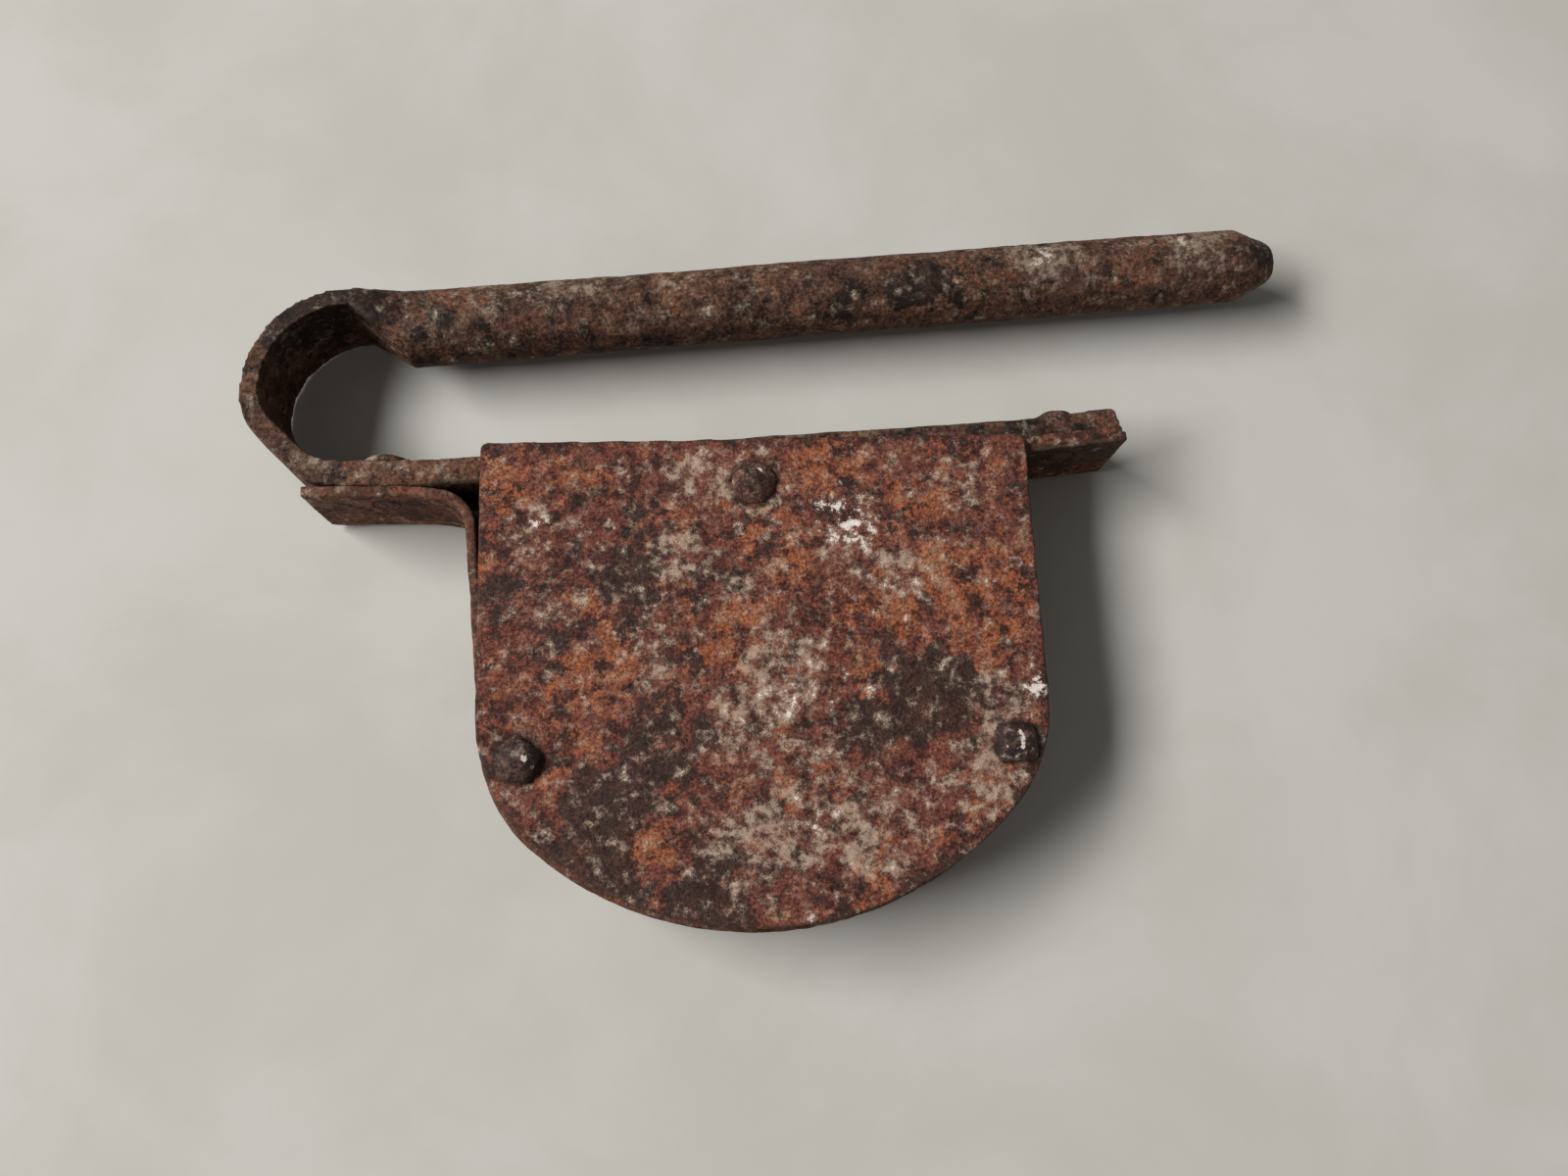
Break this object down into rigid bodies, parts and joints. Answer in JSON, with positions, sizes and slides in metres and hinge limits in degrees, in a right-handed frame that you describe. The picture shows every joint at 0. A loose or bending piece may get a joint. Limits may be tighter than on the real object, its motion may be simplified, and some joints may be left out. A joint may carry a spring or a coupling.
{
  "type": "rusty bar padlock",
  "caption": "Hand-forged bar padlock with a D-shaped riveted case, a fixed round shackle bar on a flat loop, and a sprung sliding bolt inside.",
  "frame": {"origin": "under the middle of the part's box, on the plane that the back plate lies on", "axes": "+X along the shackle bar towards its tip, +Y from the foot of the case up to the bar, +Z out of the plain plate"},
  "size_m": [0.2092, 0.1335, 0.0253],
  "materials": {
    "forged_bar": "heavily rusted and pitted forged iron, dark brown with black scale and pale patches",
    "rim_iron": "flaking brown rust over forged iron band",
    "plate_iron": "mottled orange and red-brown rust with grey and white crust over sheet iron",
    "rivet_iron": "rusted hammered rivet heads",
    "dark_pin_iron": "near-black scaled heads of forged pins, slightly glossy",
    "inner_iron": "dry brown rust on filed iron lock work",
    "spring_steel": "dull browned spring steel"
  },
  "bodies": {
    "lock_case": {"shackle_bar": "forged_bar", "rim_band": "rim_iron", "plain_plate": "plate_iron", "keyhole_plate": "plate_iron", "left_ear_rivet": "rivet_iron", "right_ear_rivet": "rivet_iron", "top_case_pin": "rivet_iron", "left_case_pin": "dark_pin_iron", "right_case_pin": "dark_pin_iron", "left_bolt_guide": "inner_iron", "right_bolt_guide": "inner_iron", "bolt_spring": "spring_steel", "spring_stud": "inner_iron", "key_pin": "inner_iron", "keyhole_ward": "inner_iron", "inner_ward": "inner_iron"},
    "sliding_bolt": {"lock_bolt": "inner_iron"}
  },
  "joints": [
    {"name": "bolt_slide", "type": "slide", "parent": "lock_case", "child": "sliding_bolt", "axis": [-1, 0, 0], "range_m": [0, 0.0115], "stiffness_N_per_m": 250, "springref_m": -0.01, "deforming": ["bolt_spring"]}
  ]
}
